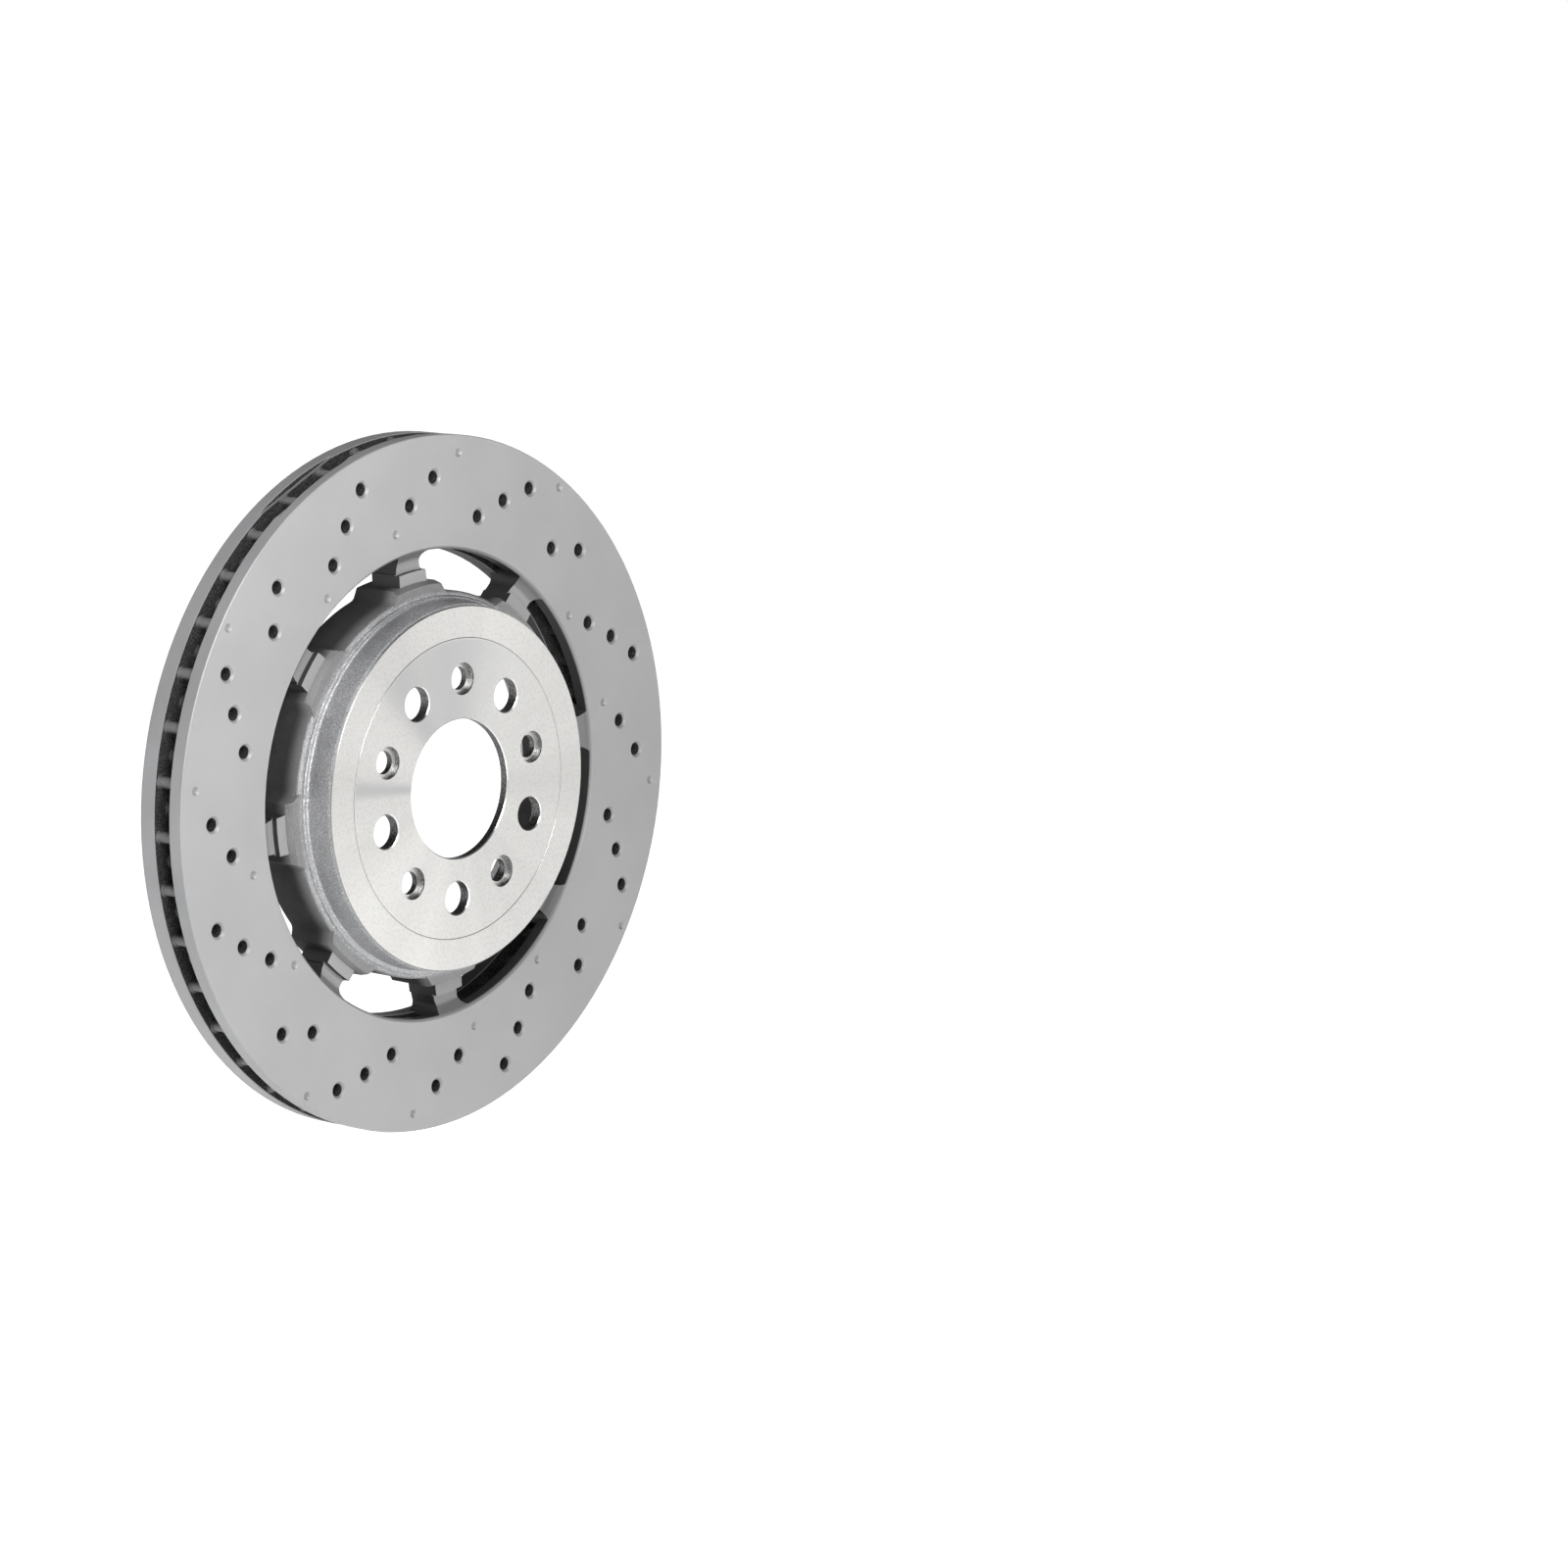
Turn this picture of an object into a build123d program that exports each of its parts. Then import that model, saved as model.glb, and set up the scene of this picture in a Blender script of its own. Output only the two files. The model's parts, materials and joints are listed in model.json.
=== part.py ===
from build123d import *
import os
from math import cos, radians, sin, tan

# Two-piece ventilated brake disc: a cast-iron friction ring whose inward teeth are held in a
# cast aluminium bell. Millimetres throughout.
#
# It is modelled about a vertical axis: Z = 0 is the face of the bell that meets the hub, and +Z
# points to the wheel. Depths are measured from the outboard friction face, away from the wheel.
# The finished pieces are then turned upright, so that the axle lies along Y, the wheel is at -Y
# and +Z is up. Angles start at +X and run towards +Z of the upright disc.

# Friction ring
RING_OUTER_D = 350.0
RING_THICKNESS = 28.0
FRICTION_BAND = 56.7
OUTBOARD_PLATE = 7.65
VENT_GAP = 10.4
OUTBOARD_EDGE_CHAMFER = 0.4
INBOARD_EDGE_CHAMFER = 1.0
INNER_EDGE_CHAMFER = 1.3

# Pillars between the two plates, in three staggered rows; gaps are to the rim, or to the bore
PILLARS_PER_ROW = 41
PILLAR_PHASE = 173.3
PILLAR_WIDTH = 6.2
PILLAR_FOOT = 1.3
OUTER_ROW_GAP = 2.2
OUTER_ROW_LENGTH = 14.0
MIDDLE_ROW_GAP = 8.5
MIDDLE_ROW_LENGTH = 23.0
INNER_ROW_GAP = 29.0
INNER_ROW_BORE_GAP = 3.7

# Cross-drilled holes, repeated in each sector: (distance in from the rim, angle)
DRILL_D = 6.5
DRILL_COUNTERSINK_D = 8.9
DRILL_SECTORS = 8
DRILL_PLACES = [(15.0, 19.0), (27.0, 25.0), (39.0, 31.6), (21.0, 0.3), (33.0, 7.1)]

# Shallow wear dimples, repeated in each quarter: (distance from the rim or the bore, angle)
DIMPLE_D = 4.6
DIMPLE_FLOOR_D = 2.4
DIMPLE_DEPTH = 1.1
DIMPLE_QUARTERS = 4
RIM_DIMPLES = [(9.0, 84.2), (5.0, 57.2)]
BORE_DIMPLES = [(12.3, 12.6), (7.7, 37.3)]

# Flat milled into the rim to balance the disc
BALANCE_DEPTH = 2.4
BALANCE_WIDTH = 14.6
BALANCE_ANGLE = 117.0

# Teeth of the ring: a neck in the window, and a head that is wider at its tip than at its mouth
TOOTH_COUNT = 8
TOOTH_PHASE = 7.0
TOOTH_FRONT_DEPTH = 3.3
TOOTH_BACK_SETBACK = 6.0
TOOTH_ROOT_LENGTH = 9.0
TOOTH_ROOT_ROUNDING = 3.0
HEAD_WIDTH = 18.9
HEAD_TIP_SPREAD = 1.7
HEAD_STAND_OUT = 5.8
HEAD_IN_WALL = 4.7
TIP_EXPANSION_GAP = 0.6
NECK_WAIST = 3.1
NECK_FLARE = 1.8
NECK_FILLET = 5.0
NECK_GROOVE_DEPTH = 6.3

# Bell
WINDOW_WIDTH = 20.6
SKIRT_WALL = 12.2
SKIRT_ROUNDING = 2.2
SKIRT_MOUTH_CHAMFER = 9.5
HUB_BORE_D = 70.0
HUB_BORE_FRONT_CHAMFER = 0.5
HUB_BORE_BACK_CHAMFER = 2.0
FACE_SETBACK = 16.4
FLANGE_THICKNESS = 6.3
FLANGE_STEP_IN = 6.0
FLANGE_EDGE_CHAMFER = 0.7
FLANGE_TURNED_DEPTH = 1.5
CAST_SKIN_STEP = 0.5
SCRIBED_INSET = 16.2
SCRIBED_WIDTH = 0.5
SCRIBED_DEPTH = 0.25
SHOULDER_RISE = 0.4
SHOULDER_WIDTH = 2.4
BEAD_HEIGHT = 1.6
BEAD_WIDTH = 2.4
BEAD_ROUNDING = 0.8
BEAD_FOOT_FILLET = 1.2
CAVITY_FILLET = 4.0

# Socket bosses around the bell
BOSS_STAND_OUT = 5.1
BOSS_LIP_SETBACK = 1.5
BOSS_SIDE_WALL = 4.85
BOSS_FLANK_ANGLE = 29.7
BOSS_CORNER = 1.5
BOSS_FILLET = 4.5

# Holes through the bell's flange
BOLT_CIRCLE_D = 110.0
BOLT_COUNT = 5
WHEEL_BOLT_D = 17.0
WHEEL_BOLT_CHAMFER = 0.5
WHEEL_BOLT_PHASE = 52.0
PIN_HOLE_D = 11.6
PIN_COUNTERBORE_D = 16.3
PIN_COUNTERBORE_DEPTH = 3.0
PIN_PHASE = 16.0

# Cuts run this far past the faces that they open through, and joined shapes overlap by as much
OVERCUT = 1.0

ring_outer_r = RING_OUTER_D / 2
ring_inner_r = ring_outer_r - FRICTION_BAND
skirt_outer_r = ring_inner_r - WINDOW_WIDTH
skirt_inner_r = skirt_outer_r - SKIRT_WALL
skirt_middle_r = (skirt_outer_r + skirt_inner_r) / 2
flange_r = skirt_outer_r - FLANGE_STEP_IN
boss_outer_r = skirt_outer_r + BOSS_STAND_OUT
head_outer_r = boss_outer_r + HEAD_STAND_OUT
head_tip_r = skirt_outer_r - HEAD_IN_WALL
bolt_circle_r = BOLT_CIRCLE_D / 2
face_z = FLANGE_THICKNESS - FACE_SETBACK


def at_depth(depth):
    """Height of a plane that lies this deep behind the outboard friction face."""
    return face_z - depth


ring_back_z = at_depth(RING_THICKNESS)
tooth_front_z = at_depth(TOOTH_FRONT_DEPTH)
tooth_back_z = at_depth(RING_THICKNESS - TOOTH_BACK_SETBACK)
shoulder_z = at_depth(-SHOULDER_RISE)


def turned(outline):
    """Solid turned from a face drawn with radius across and height up."""
    return revolve(Plane.XZ * outline, Axis.Z)


def polygon(*points):
    return make_face(Polyline(*points, close=True))


def around(shape, count, phase=0.0):
    """Copies of a shape that lies along +X, evenly spaced about the axle."""
    return [Rot(0, 0, phase + step * 360.0 / count) * shape for step in range(count)]


def place(radius, angle):
    return Pos(radius * cos(radians(angle)), radius * sin(radians(angle)), 0)


def drill(diameter, top, bottom):
    return Pos(0, 0, (top + bottom) / 2) * Cylinder(diameter / 2, top - bottom)


def countersink(wide_d, narrow_d, top, bottom):
    """Conical cut from its wide mouth at the top, run on past it, to its narrow bottom."""
    slope = (wide_d - narrow_d) / (top - bottom)
    mouth_d = wide_d + slope * OVERCUT
    height = top + OVERCUT - bottom
    return Pos(0, 0, bottom + height / 2) * Cone(narrow_d / 2, mouth_d / 2, height)


def nearest(sketch, radius, height):
    return sketch.vertices().sort_by_distance(Vector(radius, height, 0))[0]


def radius_of(corner):
    return (corner.X ** 2 + corner.Y ** 2) ** 0.5


# ---------------------------------------------------------------- friction ring

def ring_blank():
    top = at_depth(0)
    return turned(polygon(
        (ring_inner_r, top - INNER_EDGE_CHAMFER),
        (ring_inner_r + INNER_EDGE_CHAMFER, top),
        (ring_outer_r - OUTBOARD_EDGE_CHAMFER, top),
        (ring_outer_r, top - OUTBOARD_EDGE_CHAMFER),
        (ring_outer_r, ring_back_z + INBOARD_EDGE_CHAMFER),
        (ring_outer_r - INBOARD_EDGE_CHAMFER, ring_back_z),
        (ring_inner_r + INNER_EDGE_CHAMFER, ring_back_z),
        (ring_inner_r, ring_back_z + INNER_EDGE_CHAMFER),
    ))


def pillar(length):
    """Pillar that stands between the plates, with its two feet splayed into them."""
    plate = Rectangle(3 * length, 3 * length)
    block = extrude(SlotOverall(length, PILLAR_WIDTH), VENT_GAP)
    block += extrude(plate, -OVERCUT)
    block += Pos(0, 0, VENT_GAP) * extrude(plate, OVERCUT)
    for height in (0, VENT_GAP):
        level = block.edges().filter_by_position(Axis.Z, height, height)
        foot = level.sort_by_distance(Vector(0, 0, height))[:4]
        block = chamfer(foot, PILLAR_FOOT)
    return block & extrude(plate, VENT_GAP)


def pillars():
    half_pitch = 180.0 / PILLARS_PER_ROW
    inner_row_length = FRICTION_BAND - INNER_ROW_GAP - INNER_ROW_BORE_GAP
    rows = [
        (OUTER_ROW_GAP, OUTER_ROW_LENGTH, 0.0),
        (MIDDLE_ROW_GAP, MIDDLE_ROW_LENGTH, half_pitch),
        (INNER_ROW_GAP, inner_row_length, 0.0),
    ]
    copies = []
    for rim_gap, length, shift in rows:
        middle_r = ring_outer_r - rim_gap - length / 2
        copies += around(Pos(middle_r, 0, 0) * pillar(length), PILLARS_PER_ROW, PILLAR_PHASE + shift)
    return copies


def tooth_roots():
    """Blocks that carry each tooth into the vent, so that it joins both plates."""
    reach = OVERCUT + TOOTH_ROOT_LENGTH
    root = RectangleRounded(reach, HEAD_WIDTH - NECK_WAIST, TOOTH_ROOT_ROUNDING)
    return around(Pos(ring_inner_r - OVERCUT + reach / 2, 0) * root, TOOTH_COUNT, TOOTH_PHASE)


def vent_space():
    plan = Circle(ring_outer_r + OVERCUT) - Circle(ring_inner_r - OVERCUT) - tooth_roots()
    space = extrude(plan, VENT_GAP) - pillars()
    return Pos(0, 0, at_depth(OUTBOARD_PLATE + VENT_GAP)) * space


def tooth_neck():
    """Plan of a neck: rounded into the ring at its root, and flared towards the head."""
    waist_half = (HEAD_WIDTH - NECK_WAIST) / 2
    flare_half = waist_half + NECK_FLARE / 2
    root_half = waist_half + NECK_FILLET
    waist_r = ring_inner_r - NECK_FILLET
    buried_r = ring_inner_r + NECK_FILLET / 2
    head_r = head_outer_r - OVERCUT
    outline = Polyline(
        (ring_inner_r, root_half),
        (buried_r, root_half),
        (buried_r, -root_half),
        (ring_inner_r, -root_half),
    )
    outline += RadiusArc((ring_inner_r, -root_half), (waist_r, -waist_half), -NECK_FILLET)
    outline += Polyline(
        (waist_r, -waist_half),
        (head_r, -flare_half),
        (head_r, flare_half),
        (waist_r, waist_half),
    )
    outline += RadiusArc((waist_r, waist_half), (ring_inner_r, root_half), -NECK_FILLET)
    return make_face(outline)


def tooth_head(tip_gap=0.0):
    """Plan of a head, wider at its tip than at its mouth, so that it can't pull out."""
    taper = HEAD_TIP_SPREAD / (head_outer_r - head_tip_r)
    tip_r = head_tip_r - tip_gap
    tip_half = (HEAD_WIDTH + HEAD_TIP_SPREAD + taper * tip_gap) / 2
    mouth_half = HEAD_WIDTH / 2
    return polygon(
        (tip_r, -tip_half),
        (head_outer_r, -mouth_half),
        (head_outer_r, mouth_half),
        (tip_r, tip_half),
    )


def groove_tool():
    """Turned cut that leaves the flat front of the heads and the hollow in front of the necks."""
    open_z = at_depth(-OVERCUT)
    floor_z = at_depth(NECK_GROOVE_DEPTH)
    neck_length = ring_inner_r - head_outer_r
    wall_top = (ring_inner_r, at_depth(INNER_EDGE_CHAMFER))
    wall_middle = (ring_inner_r - 0.27 * neck_length, at_depth(0.72 * NECK_GROOVE_DEPTH))
    floor_start = (head_outer_r + 0.27 * neck_length, floor_z)
    cleared_r = head_tip_r - 2 * OVERCUT
    outline = ThreePointArc(wall_top, wall_middle, floor_start)
    outline += Polyline(
        floor_start,
        (head_outer_r, floor_z),
        (head_outer_r, tooth_front_z),
        (cleared_r, tooth_front_z),
        (cleared_r, open_z),
        (ring_inner_r, open_z),
        wall_top,
    )
    return turned(make_face(outline))


def tooth():
    height = at_depth(INNER_EDGE_CHAMFER) - tooth_back_z
    return Pos(0, 0, tooth_back_z) * extrude(tooth_neck() + tooth_head(), height)


def drilled_holes():
    top = at_depth(0)
    sink = (DRILL_COUNTERSINK_D - DRILL_D) / 2
    hole = drill(DRILL_D, top + OVERCUT, ring_back_z - OVERCUT)
    hole += countersink(DRILL_COUNTERSINK_D, DRILL_D, top, top - sink)
    hole += Rot(180, 0, 0) * countersink(DRILL_COUNTERSINK_D, DRILL_D, -ring_back_z, -ring_back_z - sink)
    holes = []
    for inset, angle in DRILL_PLACES:
        holes += around(place(ring_outer_r - inset, angle) * hole, DRILL_SECTORS)
    return holes


def wear_dimples():
    dimple = countersink(DIMPLE_D, DIMPLE_FLOOR_D, at_depth(0), at_depth(DIMPLE_DEPTH))
    places = [(ring_outer_r - inset, angle) for inset, angle in RIM_DIMPLES]
    places += [(ring_inner_r + inset, angle) for inset, angle in BORE_DIMPLES]
    dimples = []
    for radius, angle in places:
        dimples += around(place(radius, angle) * dimple, DIMPLE_QUARTERS)
    return dimples


def balance_cut():
    """Flat pass of a cutter across the vent mouths at the rim."""
    cutter = Box(2 * BALANCE_DEPTH, ring_outer_r, BALANCE_WIDTH)
    cutter = Pos(ring_outer_r, 0, at_depth(OUTBOARD_PLATE + VENT_GAP / 2)) * cutter
    return Rot(0, 0, BALANCE_ANGLE) * cutter


def friction_ring():
    teeth = Part() + around(tooth(), TOOTH_COUNT, TOOTH_PHASE) - groove_tool()
    ring = ring_blank() - vent_space() + teeth
    return ring - drilled_holes() - wear_dimples() - balance_cut()


# ------------------------------------------------------------------------ bell

def bell_core():
    """Flange, side wall with its bead, and skirt, turned as one hollow cup."""
    top = FLANGE_THICKNESS
    bead_top = shoulder_z + BEAD_HEIGHT
    bead_outer = skirt_outer_r - SHOULDER_WIDTH
    bead_inner = bead_outer - BEAD_WIDTH
    bore_r = HUB_BORE_D / 2
    cast_skin_z = top - FLANGE_TURNED_DEPTH
    outline = polygon(
        (bore_r, HUB_BORE_BACK_CHAMFER),
        (bore_r, top - HUB_BORE_FRONT_CHAMFER),
        (bore_r + HUB_BORE_FRONT_CHAMFER, top),
        (flange_r - FLANGE_EDGE_CHAMFER, top),
        (flange_r, top - FLANGE_EDGE_CHAMFER),
        (flange_r, cast_skin_z),
        (flange_r + CAST_SKIN_STEP, cast_skin_z),
        (bead_inner, bead_top),
        (bead_outer, bead_top),
        (bead_outer, shoulder_z),
        (skirt_outer_r, shoulder_z),
        (skirt_outer_r, ring_back_z),
        (skirt_inner_r + SKIRT_MOUTH_CHAMFER, ring_back_z),
        (skirt_inner_r, ring_back_z + SKIRT_MOUTH_CHAMFER),
        (skirt_inner_r, 0),
        (bore_r + HUB_BORE_BACK_CHAMFER, 0),
    )
    roundings = [
        (bead_inner, bead_top, BEAD_FOOT_FILLET),
        (bead_outer, bead_top, BEAD_ROUNDING),
        (skirt_outer_r, shoulder_z, SKIRT_ROUNDING),
        (skirt_inner_r, 0, CAVITY_FILLET),
    ]
    for radius, height, rounding in roundings:
        outline = fillet(nearest(outline, radius, height), rounding)
    return turned(outline)


def boss_plan():
    """Plan of one socket boss: its flanks close in towards a rim that is round about the axle."""
    rim_half = HEAD_WIDTH / 2 + BOSS_SIDE_WALL
    root_half = rim_half + (boss_outer_r - skirt_middle_r) * tan(radians(BOSS_FLANK_ANGLE))
    flanks = polygon(
        (skirt_middle_r, -root_half),
        (boss_outer_r, -rim_half),
        (boss_outer_r, rim_half),
        (skirt_middle_r, root_half),
    )
    return flanks & Circle(boss_outer_r)


def boss_ring():
    """All the bosses, and the fillets that run from their flanks into the skirt."""
    bosses = around(boss_plan(), TOOTH_COUNT, TOOTH_PHASE)
    band = Circle(skirt_outer_r) - Circle(skirt_middle_r)
    filleted = band + bosses
    roots = [corner for corner in filleted.vertices() if abs(radius_of(corner) - skirt_outer_r) < 0.01]
    filleted = fillet(roots, BOSS_FILLET)
    rims = [corner for corner in filleted.vertices() if abs(radius_of(corner) - boss_outer_r) < 0.01]
    filleted = fillet(rims, BOSS_CORNER)
    gussets = extrude(filleted, shoulder_z - SKIRT_ROUNDING - ring_back_z)
    band_inside_shoulder = Circle(skirt_outer_r - SHOULDER_WIDTH) - Circle(skirt_middle_r)
    full_height = extrude(band_inside_shoulder + bosses, shoulder_z - ring_back_z)
    return Pos(0, 0, ring_back_z) * (gussets + full_height)


def lip_bevel():
    """Turned cut that slopes the outer wall of the bosses back towards their front lip."""
    slope = BOSS_LIP_SETBACK / (shoulder_z - tooth_front_z)
    clear_r = boss_outer_r + OVERCUT
    return turned(polygon(
        (boss_outer_r - BOSS_LIP_SETBACK - slope * OVERCUT, shoulder_z + OVERCUT),
        (boss_outer_r, tooth_front_z),
        (clear_r, tooth_front_z),
        (clear_r, shoulder_z + OVERCUT),
    ))


def sockets():
    socket = extrude(tooth_head(TIP_EXPANSION_GAP), tooth_front_z - tooth_back_z)
    return around(Pos(0, 0, tooth_back_z) * socket, TOOTH_COUNT, TOOTH_PHASE)


def scribed_circle():
    radius = flange_r - SCRIBED_INSET
    top = FLANGE_THICKNESS
    return turned(polygon(
        (radius - SCRIBED_WIDTH, top + SCRIBED_DEPTH),
        (radius, top - SCRIBED_DEPTH),
        (radius + SCRIBED_WIDTH, top + SCRIBED_DEPTH),
    ))


def wheel_bolt_hole():
    top = FLANGE_THICKNESS
    wide = WHEEL_BOLT_D + 2 * WHEEL_BOLT_CHAMFER
    hole = drill(WHEEL_BOLT_D, top + OVERCUT, -OVERCUT)
    hole += countersink(wide, WHEEL_BOLT_D, top, top - WHEEL_BOLT_CHAMFER)
    return hole + Rot(180, 0, 0) * countersink(wide, WHEEL_BOLT_D, 0, -WHEEL_BOLT_CHAMFER)


def pin_hole():
    top = FLANGE_THICKNESS
    hole = drill(PIN_HOLE_D, top + OVERCUT, -OVERCUT)
    return hole + drill(PIN_COUNTERBORE_D, top + OVERCUT, top - PIN_COUNTERBORE_DEPTH)


def bell():
    cup = bell_core() + (boss_ring() - lip_bevel())
    cup = cup - sockets() - scribed_circle()
    cup = cup - around(Pos(bolt_circle_r, 0, 0) * wheel_bolt_hole(), BOLT_COUNT, WHEEL_BOLT_PHASE)
    return cup - around(Pos(bolt_circle_r, 0, 0) * pin_hole(), BOLT_COUNT, PIN_PHASE)


pieces = {
    "friction_ring": friction_ring(),
    "bell": bell(),
}

os.makedirs("parts", exist_ok=True)
upright = Rot(90, 0, 0)
for name, piece in pieces.items():
    export_step(upright * piece, f"parts/{name}.step")
    print(name, round(piece.volume), "mm3,", len(piece.solids()), "solid")
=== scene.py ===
import bpy
import json
from math import cos, radians, sin
from mathutils import Matrix, Vector


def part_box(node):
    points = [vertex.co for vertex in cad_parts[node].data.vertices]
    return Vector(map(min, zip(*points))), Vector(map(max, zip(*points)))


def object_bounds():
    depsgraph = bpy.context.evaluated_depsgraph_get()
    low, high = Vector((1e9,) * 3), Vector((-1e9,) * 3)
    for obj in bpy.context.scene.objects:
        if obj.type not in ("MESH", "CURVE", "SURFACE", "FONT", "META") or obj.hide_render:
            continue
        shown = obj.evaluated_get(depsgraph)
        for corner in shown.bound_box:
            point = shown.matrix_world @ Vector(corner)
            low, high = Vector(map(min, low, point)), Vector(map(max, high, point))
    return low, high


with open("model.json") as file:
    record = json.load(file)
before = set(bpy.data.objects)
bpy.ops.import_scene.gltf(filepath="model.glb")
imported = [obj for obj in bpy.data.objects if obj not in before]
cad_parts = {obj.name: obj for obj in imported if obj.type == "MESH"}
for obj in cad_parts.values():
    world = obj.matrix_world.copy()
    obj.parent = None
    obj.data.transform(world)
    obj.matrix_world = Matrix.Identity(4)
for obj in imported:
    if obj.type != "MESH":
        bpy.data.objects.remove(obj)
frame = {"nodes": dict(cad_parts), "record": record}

# The disc stands on its rim: its axle lies along Y, its wheel side looks to -Y and +Z is up.
cad_low, cad_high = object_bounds()
ring_low, ring_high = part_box("friction_ring")
mounts = {mount["name"]: mount for mount in frame["record"]["mounts"]}

RIM_R = (ring_high.x - ring_low.x) / 2
FRONT_Y = mounts["outboard_friction_face"]["pos_m"][1]
BACK_Y = mounts["inboard_friction_face"]["pos_m"][1]
FLANGE_Y = mounts["wheel_face"]["pos_m"][1]
HUB_Y = mounts["hub_face"]["pos_m"][1]

# Sizes of the part that the frame doesn't state
OUTBOARD_PLATE = 0.00765
VENT_GAP = 0.0104
SKIRT_WALL = 0.0122
FLANGE_TO_SKIRT = 0.0067
FLANGE_TO_SCRIBED = 0.0158
SHOULDER_RISE = 0.0004


def radius_of(point):
    return (point.x ** 2 + point.z ** 2) ** 0.5


def face_radii(node, y):
    """Smallest and largest radius of a CAD node's flat face that lies at this y."""
    radii = [radius_of(v.co) for v in frame["nodes"][node].data.vertices if abs(v.co.y - y) < 1e-5]
    return min(radii), max(radii)


BAND_INNER_R = face_radii("friction_ring", FRONT_Y)[0]
FLANGE_R = face_radii("bell", FLANGE_Y)[1]
VENT_FRONT_Y = FRONT_Y + OUTBOARD_PLATE
VENT_BACK_Y = VENT_FRONT_Y + VENT_GAP
SHOULDER_Y = FRONT_Y - SHOULDER_RISE
SCRIBED_R = FLANGE_R - FLANGE_TO_SCRIBED
SKIRT_R = FLANGE_R + FLANGE_TO_SKIRT
CAVITY_R = SKIRT_R - SKIRT_WALL


# ------------------------------------------------------------------------ camera

def direction(azimuth, elevation):
    """Unit vector: azimuth 0 points along -Y, and grows towards +X."""
    flat = cos(radians(elevation))
    return Vector((sin(radians(azimuth)) * flat, -cos(radians(azimuth)) * flat, sin(radians(elevation))))


def add_camera():
    camera = bpy.data.cameras.new("camera")
    camera.lens = 102.68
    camera.sensor_width = 36.0
    camera.sensor_fit = "HORIZONTAL"
    obj = bpy.data.objects.new("camera", camera)
    place = direction(-47.192, 9.256) * 2.2322
    turn = direction(-51.508, 9.177).to_track_quat("Z", "Y").to_matrix().to_4x4()
    obj.matrix_world = Matrix.Translation(place) @ turn @ Matrix.Rotation(radians(0.655), 4, "Z")
    bpy.context.scene.collection.objects.link(obj)
    bpy.context.scene.camera = obj


# ---------------------------------------------------------------- node shorthand

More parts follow.
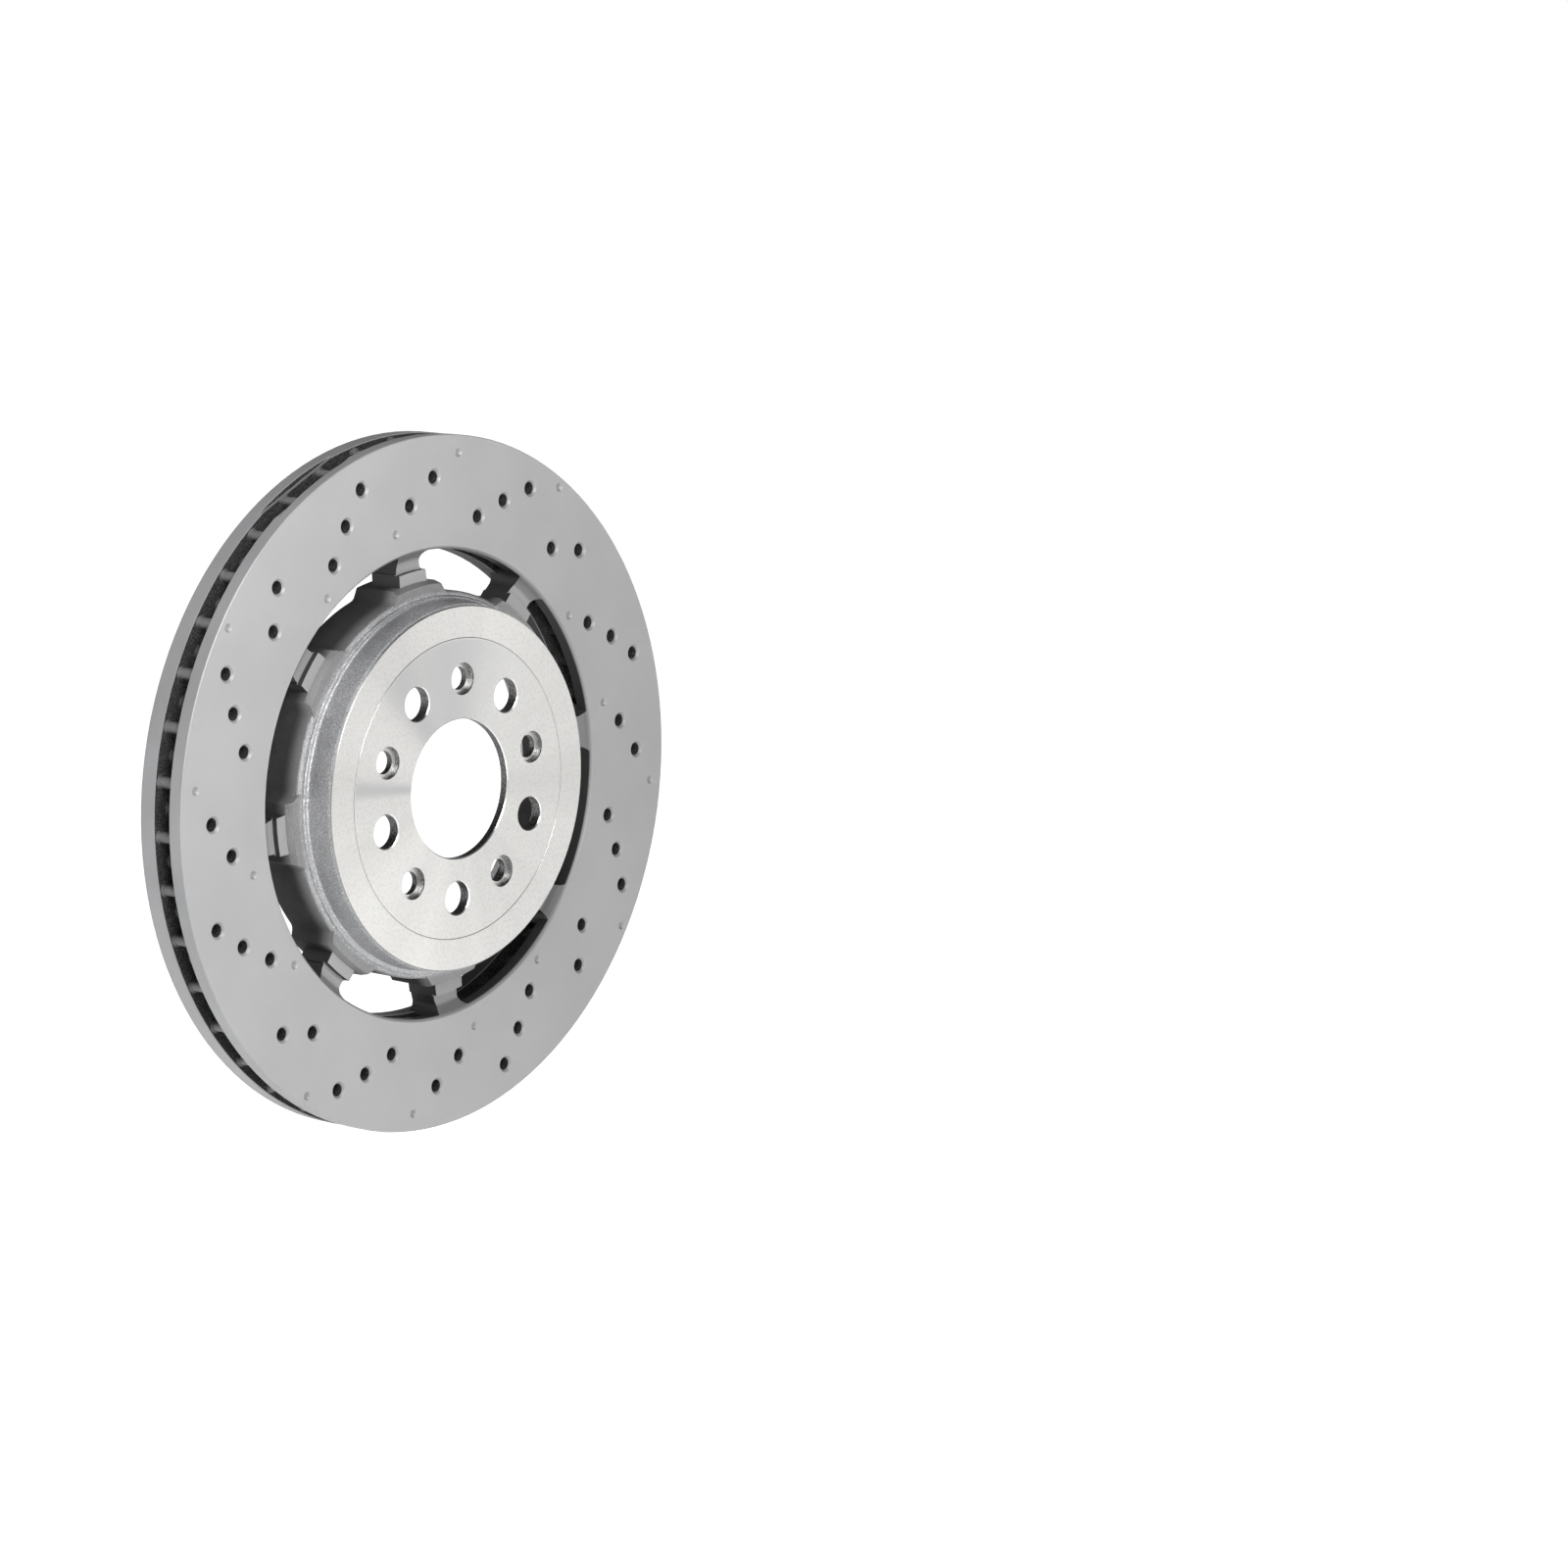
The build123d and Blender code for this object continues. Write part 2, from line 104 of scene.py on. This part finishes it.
class Graph:
    """A material's node tree, with one short call for each kind of node."""

    def __init__(self, name):
        self.material = bpy.data.materials.new(name)
        self.material.use_nodes = True
        self.tree = self.material.node_tree
        self.shader = self.tree.nodes["Principled BSDF"]

    def node(self, kind, *inputs, **settings):
        made = self.tree.nodes.new("ShaderNode" + kind)
        for setting, value in settings.items():
            setattr(made, setting, value)
        for socket, value in zip(made.inputs, inputs):
            self.put(socket, value)
        return made

    def put(self, socket, value):
        if isinstance(value, bpy.types.NodeSocket):
            self.tree.links.new(value, socket)
        elif value is not None:
            socket.default_value = value

    def maths(self, operation, *inputs):
        return self.node("Math", *inputs, operation=operation).outputs[0]

    def times(self, a, b):
        return self.maths("MULTIPLY", a, b)

    def plus(self, a, b):
        return self.maths("ADD", a, b)

    def less(self, a, b):
        return self.maths("SUBTRACT", a, b)

    def inverse(self, a):
        return self.maths("SUBTRACT", 1.0, a)

    def ramp(self, value, start, end, low=0.0, high=1.0):
        """Smooth step of a value from start to end, or down if end is the smaller."""
        made = self.node("MapRange", value, start, end, low, high, interpolation_type="SMOOTHSTEP")
        if start > end:
            made.inputs[1].default_value, made.inputs[2].default_value = end, start
            made.inputs[3].default_value, made.inputs[4].default_value = high, low
        return made.outputs[0]

    def mix(self, share, a, b):
        made = self.node("Mix", data_type="RGBA", clamp_factor=True)
        self.put(made.inputs["Factor"], share)
        self.put(made.inputs[6], a)
        self.put(made.inputs[7], b)
        return made.outputs[2]

    def blend(self, share, a, b):
        """The same mix for plain numbers."""
        made = self.node("Mix", data_type="FLOAT", clamp_factor=True)
        self.put(made.inputs["Factor"], share)
        self.put(made.inputs[2], a)
        self.put(made.inputs[3], b)
        return made.outputs[0]

    def noise(self, vector, scale, detail=2.0, roughness=0.5):
        made = self.node("TexNoise", noise_dimensions="3D")
        self.put(made.inputs["Vector"], vector)
        self.put(made.inputs["Scale"], scale)
        self.put(made.inputs["Detail"], detail)
        self.put(made.inputs["Roughness"], roughness)
        return made.outputs["Fac"]

    def grains(self, vector, scale):
        """Distance to the nearest grain of a random packing."""
        made = self.node("TexVoronoi", feature="F1")
        self.put(made.inputs["Vector"], vector)
        self.put(made.inputs["Scale"], scale)
        return made.outputs["Distance"]

    def bump(self, height, depth, strength=1.0):
        made = self.node("Bump")
        self.put(made.inputs["Strength"], strength)
        self.put(made.inputs["Distance"], depth)
        self.put(made.inputs["Height"], height)
        return made.outputs["Normal"]

    def place(self):
        """Where a point is on the disc: vector, radius, angle, y, and its normal's lie."""
        coordinates = self.node("TexCoord")
        vector = coordinates.outputs["Object"]
        parts = self.node("SeparateXYZ", vector).outputs
        normal = self.node("SeparateXYZ", coordinates.outputs["Normal"]).outputs
        squares = self.plus(self.times(parts[0], parts[0]), self.times(parts[2], parts[2]))
        radius = self.maths("SQRT", squares)
        outward = self.plus(self.times(parts[0], normal[0]), self.times(parts[2], normal[2]))
        return {
            "vector": vector,
            "radius": radius,
            "angle": self.maths("ARCTAN2", parts[2], parts[0]),
            "x": parts[0],
            "y": parts[1],
            "z": parts[2],
            "facing": normal[1],
            "outward": self.maths("DIVIDE", outward, radius),
        }

    def spoke(self, place, middle, half_width):
        """A soft sector round an angle in degrees, 1 in its middle and 0 outside it."""
        away = self.maths("ABSOLUTE", self.less(place["angle"], radians(middle)))
        return self.ramp(away, radians(half_width), 0.0)

    def turning_marks(self, place, pitch):
        """Uneven concentric marks of a cutting tool, from 0 to 1."""
        rings = self.node("CombineXYZ", self.times(place["radius"], 1.0 / pitch), 0.0, 0.0).outputs[0]
        return self.noise(rings, 1.0, detail=3.0, roughness=0.7)


def grey(value, tint=(1.0, 1.0, 1.0)):
    return (value * tint[0], value * tint[1], value * tint[2], 1.0)


COOL = (0.99, 0.995, 1.015)
WARM = (1.015, 1.005, 0.98)


# --------------------------------------------------------------- friction ring

COATED_DEPTH = 0.00118


def bare_and_shaded_inside(g, at, off_rim, off_bore):
    """Where the vents and drilled holes are bare and painted dark as shade: off every coated outer face.
    """
    behind_front = g.ramp(at["y"], FRONT_Y + COATED_DEPTH - 0.0001, FRONT_Y + COATED_DEPTH + 0.0002)
    before_back = g.ramp(at["y"], BACK_Y - COATED_DEPTH + 0.0001, BACK_Y - COATED_DEPTH - 0.0002)
    inside = g.times(g.times(behind_front, before_back), g.times(off_rim, off_bore))

    # The flat milled into the rims of the two plates is coated too.
    past_front_plate = g.ramp(at["y"], VENT_FRONT_Y - 0.0001, VENT_FRONT_Y + 0.0001)
    before_back_plate = g.ramp(at["y"], VENT_BACK_Y + 0.0001, VENT_BACK_Y - 0.0001)
    on_plates = g.inverse(g.times(past_front_plate, before_back_plate))
    near_rim = g.ramp(at["radius"], RIM_R - 0.0032, RIM_R - 0.0026)
    milled = g.times(near_rim, g.ramp(at["outward"], 0.8, 0.95))
    inside = g.times(inside, g.inverse(g.times(on_plates, milled)))

    # The ends of the pillars that look out of the vents are paler.
    looks_out = g.ramp(at["outward"], 0.30, 1.0, 0.0, 0.6)
    sprayed = g.times(looks_out, g.ramp(at["radius"], RIM_R - 0.013, RIM_R - 0.003))
    return g.times(inside, g.inverse(sprayed))


def coating_colour(g, at, off_rim, off_bore, fine):
    """Nearly even grey with faint clouds, a little darker and bluer on the rim."""
    clouds = g.noise(at["vector"], 26.0, detail=4.0)
    flat_share = g.maths("ABSOLUTE", at["facing"])
    on_face = g.ramp(flat_share, 0.55, 0.95)
    face_colour = g.mix(g.ramp(clouds, 0.3, 0.7), grey(0.425), grey(0.45))
    rim_colour = g.mix(g.ramp(clouds, 0.3, 0.7), grey(0.38, COOL), grey(0.43, COOL))
    # Painted shade: the teeth are painted a little darker, as the ring shades them.
    shaded_teeth = g.ramp(at["radius"], BAND_INNER_R, BAND_INNER_R - 0.004)
    face_colour = g.mix(shaded_teeth, face_colour, grey(0.39))
    coat = g.mix(on_face, rim_colour, face_colour)
    coat = g.mix(g.times(g.ramp(fine, 0.62, 0.80), 0.25), coat, grey(0.34))

    depth = g.maths("MINIMUM", g.less(at["y"], FRONT_Y), g.less(BACK_Y, at["y"]))
    # Painted shade: the dimples and the mouths of the drilled holes are painted darker.
    shaded_pits = g.times(g.times(off_rim, off_bore), g.ramp(depth, 0.0001, 0.0007))
    coat = g.mix(shaded_pits, coat, grey(0.33))
    # Painted shade: a dark band along the broken edges of the bore and the teeth.
    shaded_broken_edge = g.times(g.inverse(off_bore), g.ramp(depth, 0.0002, 0.0005))
    shaded_broken_edge = g.times(shaded_broken_edge, g.ramp(flat_share, 0.95, 0.85))
    shaded_broken_edge = g.times(shaded_broken_edge, g.ramp(flat_share, 0.45, 0.55))
    coat = g.mix(shaded_broken_edge, coat, grey(0.24))

    # The wall of the bore and the flanks of the teeth are painted ever darker behind the faces.
    inward = g.ramp(at["radius"], BAND_INNER_R + 0.0005, BAND_INNER_R - 0.0005)
    sideways = g.ramp(g.inverse(flat_share), 0.4, 0.9)
    shaded = g.times(g.times(inward, sideways), g.ramp(depth, 0.0004, 0.0022))
    return g.mix(shaded, coat, grey(0.035))


def coated_iron():
    """Matte grey coating outside, and dark rough cast iron in the vents and holes, painted near black:
    bare iron and painted shade.
    """
    g = Graph("coated_iron")
    at = g.place()
    off_rim = g.ramp(at["radius"], RIM_R - 0.0003, RIM_R - 0.0006)
    off_bore = g.ramp(at["radius"], BAND_INNER_R - 0.0012, BAND_INNER_R - 0.0006)
    cast = bare_and_shaded_inside(g, at, off_rim, off_bore)
    fine = g.noise(at["vector"], 900.0, detail=3.0, roughness=0.7)
    coat = coating_colour(g, at, off_rim, off_bore, fine)
    # Cast skin: near black, with pale specks; the near black is partly bare iron and partly painted
    # shade.
    grit = g.noise(at["vector"], 1500.0, detail=5.0, roughness=0.75)
    skin = g.mix(g.ramp(grit, 0.49, 0.60), grey(0.012), grey(0.085))
    rough_cast = g.noise(at["vector"], 700.0, detail=5.0, roughness=0.65)
    height = g.blend(cast, g.times(fine, 0.04), rough_cast)
    g.put(g.shader.inputs["Base Color"], g.mix(cast, coat, skin))
    g.put(g.shader.inputs["Roughness"], g.blend(cast, g.blend(fine, 0.42, 0.56), 0.85))
    g.put(g.shader.inputs["Metallic"], g.blend(cast, 0.25, 0.0))
    g.put(g.shader.inputs["Normal"], g.bump(height, 0.0006))
    return g.material


# ------------------------------------------------------------------------ bell

def turned_masks(g, at):
    """Where the bell is turned: the wheel face, the hub side and the holes."""
    wander = g.times(g.less(g.noise(at["vector"], 500.0, detail=4.0), 0.5), 0.0008)
    on_front = g.ramp(g.plus(at["y"], wander), FLANGE_Y + 0.0008, FLANGE_Y + 0.0005)
    on_hub_side = g.times(
        g.ramp(at["facing"], 0.7, 0.95),
        g.ramp(at["y"], HUB_Y + 0.0004, HUB_Y + 0.0001),
    )
    in_holes = g.times(
        g.ramp(at["radius"], SCRIBED_R - 0.001, SCRIBED_R - 0.002),
        g.ramp(at["y"], HUB_Y + 0.0021, HUB_Y + 0.0018),
    )
    turned = g.maths("MAXIMUM", on_front, g.maths("MAXIMUM", on_hub_side, in_holes))
    return turned, on_front, in_holes


def turned_colour(g, at, outward_only, rings, mottle, on_front, in_holes, below):
    """Bright metal with fine rings and flecks, and three painted sectors that pass for reflections."""
    # Painted reflections: soft lighter and darker sectors round the axis.
    sectors = g.noise(outward_only, 2.3, detail=2.0, roughness=0.6)
    bright = g.mix(g.ramp(sectors, 0.30, 0.70), grey(0.90, WARM), grey(0.97, WARM))
    flecks = g.noise(at["vector"], 620.0, detail=4.0, roughness=0.7)
    bright = g.mix(g.times(g.ramp(flecks, 0.49, 0.58), 0.26), bright, grey(0.62, WARM))
    within = g.times(on_front, g.ramp(at["radius"], SCRIBED_R, SCRIBED_R - 0.001))
    for middle, half_width, shade in ((95, 55, 0.74), (174, 6, 0.74), (126, 16, 0.76)):
        bright = g.mix(g.times(g.spoke(at, middle, half_width), within), bright, grey(shade))
    bright = g.mix(g.times(g.ramp(mottle, 0.50, 0.72), 0.10), bright, grey(0.55, WARM))
    bright = g.mix(g.times(g.ramp(rings, 0.45, 0.75), 0.10), bright, grey(0.60))
    bright = g.mix(below, bright, grey(0.42))
    # Painted shade: the walls of the bolt holes are painted dark, with a mottle.
    shaded_hole_wall = g.mix(g.ramp(mottle, 0.35, 0.70), grey(0.07), grey(0.34))
    walls = g.times(in_holes, g.ramp(g.maths("ABSOLUTE", at["facing"]), 0.45, 0.20))
    return g.mix(walls, bright, shaded_hole_wall)


def skin_colour(g, at, shaded_skirt, cavity):
    """Grainy as-cast metal, painted darker on the bosses, with painted shade on the skirt and in the
    cavity.
    """
    sparkle = g.ramp(g.noise(at["vector"], 1900.0, detail=2.0, roughness=0.6), 0.60, 0.72)
    clouds = g.noise(at["vector"], 70.0, detail=4.0)
    skin = g.mix(g.ramp(clouds, 0.3, 0.7), grey(0.72, COOL), grey(0.84, COOL))
    speckle = g.noise(at["vector"], 1500.0, detail=3.0, roughness=0.8)
    skin = g.mix(g.ramp(speckle, 0.62, 0.42), skin, grey(0.40, COOL))
    skin = g.mix(g.times(sparkle, 0.45), skin, grey(0.92))
    on_bosses = g.ramp(at["radius"], SKIRT_R - 0.0022, SKIRT_R + 0.0003)
    skin = g.mix(g.times(on_bosses, 0.8), skin, grey(0.36))
    # Painted shade: the skirt behind the shoulder is painted near black.
    skin = g.mix(shaded_skirt, skin, g.mix(clouds, grey(0.05), grey(0.10)))
    # Painted shade: the cavity wall is painted near black.
    return g.mix(cavity, skin, g.mix(clouds, grey(0.06), grey(0.10)))


def cast_aluminium():
    """Bright turned metal on the flange and in the holes, and grainy as-cast metal elsewhere."""
    g = Graph("cast_aluminium")
    at = g.place()
    turned, on_front, in_holes = turned_masks(g, at)
    rings = g.turning_marks(at, 0.00035)
    broad_rings = g.turning_marks(at, 0.004)
    flattened = g.node("CombineXYZ", at["x"], 0.0, at["z"]).outputs[0]
    outward_only = g.node("VectorMath", flattened, operation="NORMALIZE").outputs[0]
    mottle = g.noise(at["vector"], 1100.0, detail=4.0, roughness=0.7)

    # The scribed circle and the broken edge lie just below the face, and are dull.
    below = g.times(g.ramp(at["y"], FLANGE_Y + 0.00002, FLANGE_Y + 0.00010), on_front)
    below = g.times(below, g.inverse(in_holes))
    bright = turned_colour(g, at, outward_only, rings, mottle, on_front, in_holes, below)

    # Painted shade: the skirt between the bosses turns near black behind the shoulder.
    behind_shoulder = g.ramp(at["y"], FRONT_Y, FRONT_Y + 0.011)
    outside = g.ramp(at["radius"], SKIRT_R - 0.0032, SKIRT_R - 0.0015)
    shaded_skirt = g.times(g.times(behind_shoulder, outside), g.ramp(at["facing"], 0.9, 0.5))
    # Painted shade: the cavity wall inside the skirt.
    cavity = g.times(
        g.ramp(at["radius"], CAVITY_R + 0.0010, CAVITY_R + 0.0002),
        g.ramp(at["y"], HUB_Y + 0.0001, HUB_Y + 0.0004),
    )
    skin = skin_colour(g, at, shaded_skirt, cavity)

    on_bead = g.times(
        g.ramp(at["y"], SHOULDER_Y - 0.0004, SHOULDER_Y - 0.0009),
        g.ramp(at["radius"], FLANGE_R + 0.0012, FLANGE_R + 0.0018),
    )
    skin_rough = g.blend(g.maths("MAXIMUM", shaded_skirt, cavity), g.blend(on_bead, 0.56, 0.38), 0.75)
    turned_rough = g.blend(below, g.blend(g.ramp(mottle, 0.35, 0.70), 0.30, 0.36), 0.6)
    grain = g.grains(at["vector"], 1500.0)
    lumps = g.noise(at["vector"], 1200.0, detail=3.0)
    cast_height = g.plus(g.times(grain, 1.3), g.times(lumps, 1.3))
    turned_height = g.plus(g.times(rings, 0.01), g.times(broad_rings, 0.02))
    g.put(g.shader.inputs["Base Color"], g.mix(turned, skin, bright))
    g.put(g.shader.inputs["Metallic"], g.blend(turned, 0.85, 1.0))
    g.put(g.shader.inputs["Roughness"], g.blend(turned, skin_rough, turned_rough))
    g.put(g.shader.inputs["Normal"], g.bump(g.blend(turned, cast_height, turned_height), 0.0002))
    g.put(g.shader.inputs["Anisotropic"], g.times(turned, 0.8))
    g.put(g.shader.inputs["Tangent"], outward_only)
    return g.material


def assign(node, material):
    for slot in frame["nodes"][node].material_slots:
        slot.material = material


# ----------------------------------------------------------------- studio

def add_floor():
    bpy.ops.mesh.primitive_plane_add(size=14.0, location=(0, 0, cad_low.z))
    floor = bpy.context.object
    floor.name = "floor"
    g = Graph("floor")
    cloud = g.noise(g.node("TexCoord").outputs["Object"], 3.0)
    g.put(g.shader.inputs["Base Color"], g.mix(cloud, grey(0.93), grey(0.96)))
    g.shader.inputs["Roughness"].default_value = 0.7
    g.shader.inputs["Specular IOR Level"].default_value = 0.0
    g.shader.inputs["Emission Color"].default_value = (1, 1, 1, 1)
    seen = g.node("LightPath").outputs["Is Camera Ray"]
    g.put(g.shader.inputs["Emission Strength"], g.blend(seen, 0.52, 1.0))
    floor.data.materials.append(g.material)


def add_softbox(name, azimuth, elevation, distance, width, height, power):
    lamp = bpy.data.lights.new(name, "AREA")
    lamp.shape = "RECTANGLE"
    lamp.size = width
    lamp.size_y = height
    lamp.energy = power
    obj = bpy.data.objects.new(name, lamp)
    obj.location = direction(azimuth, elevation) * distance
    obj.rotation_euler = direction(azimuth, elevation).to_track_quat("Z", "Y").to_euler()
    obj.visible_camera = False
    bpy.context.scene.collection.objects.link(obj)


def add_world():
    """White to the camera, and a dimmer room for what the metal mirrors."""
    world = bpy.data.worlds.new("world")
    bpy.context.scene.world = world
    world.use_nodes = True
    tree = world.node_tree
    room = tree.nodes["Background"]
    room.inputs["Color"].default_value = (1, 1, 1, 1)
    ray = tree.nodes.new("ShaderNodeTexCoord")
    parts = tree.nodes.new("ShaderNodeSeparateXYZ")
    fade = tree.nodes.new("ShaderNodeMapRange")
    fade.interpolation_type = "SMOOTHSTEP"
    fade.inputs["From Max"].default_value = 0.35
    fade.inputs["To Min"].default_value = 0.95
    fade.inputs["To Max"].default_value = 0.07
    tree.links.new(ray.outputs["Generated"], parts.inputs[0])
    tree.links.new(parts.outputs["Z"], fade.inputs["Value"])
    tree.links.new(fade.outputs[0], room.inputs["Strength"])
    backdrop = tree.nodes.new("ShaderNodeBackground")
    backdrop.inputs["Color"].default_value = (1, 1, 1, 1)
    path = tree.nodes.new("ShaderNodeLightPath")
    chosen = tree.nodes.new("ShaderNodeMixShader")
    tree.links.new(path.outputs["Is Camera Ray"], chosen.inputs["Fac"])
    tree.links.new(room.outputs[0], chosen.inputs[1])
    tree.links.new(backdrop.outputs[0], chosen.inputs[2])
    tree.links.new(chosen.outputs[0], tree.nodes["World Output"].inputs["Surface"])


add_camera()
assign("friction_ring", coated_iron())
assign("bell", cast_aluminium())
add_floor()
add_world()
add_softbox("key", -42, 33, 0.7, 0.30, 0.40, 4.0)
add_softbox("right_card", 50, 14, 1.8, 1.2, 0.9, 1.2)
add_softbox("back", 180, 12, 2.0, 1.2, 1.2, 7)
bpy.context.scene.view_settings.view_transform = "Standard"
